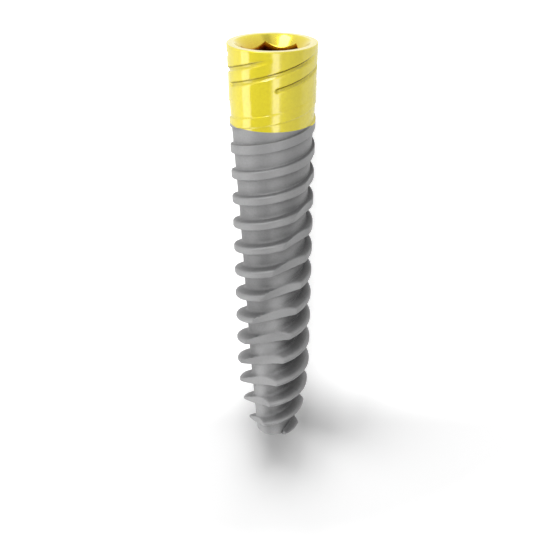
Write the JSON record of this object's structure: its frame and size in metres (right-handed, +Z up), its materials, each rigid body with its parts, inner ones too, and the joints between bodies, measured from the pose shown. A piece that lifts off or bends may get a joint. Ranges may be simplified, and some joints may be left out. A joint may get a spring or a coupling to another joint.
{
  "type": "dental implant",
  "caption": "Tapered screw implant for a tooth: gold collar with a bevelled hexagon socket, grey blasted thread with helical cutting flutes and a rounded apex.",
  "frame": {"origin": "bottom centre of the bounding box of the implant as it lies on its side, on the floor", "axes": "+Y along the implant from the apex towards the platform, +Z up, so the socket opens towards +Y"},
  "size_m": [0.0032, 0.016, 0.0032],
  "materials": {
    "titanium": "fine grit-blasted grey titanium below, smooth gold anodised titanium on the collar and in the socket"
  },
  "bodies": {
    "root": {"implant": "titanium"}
  },
  "joints": []
}
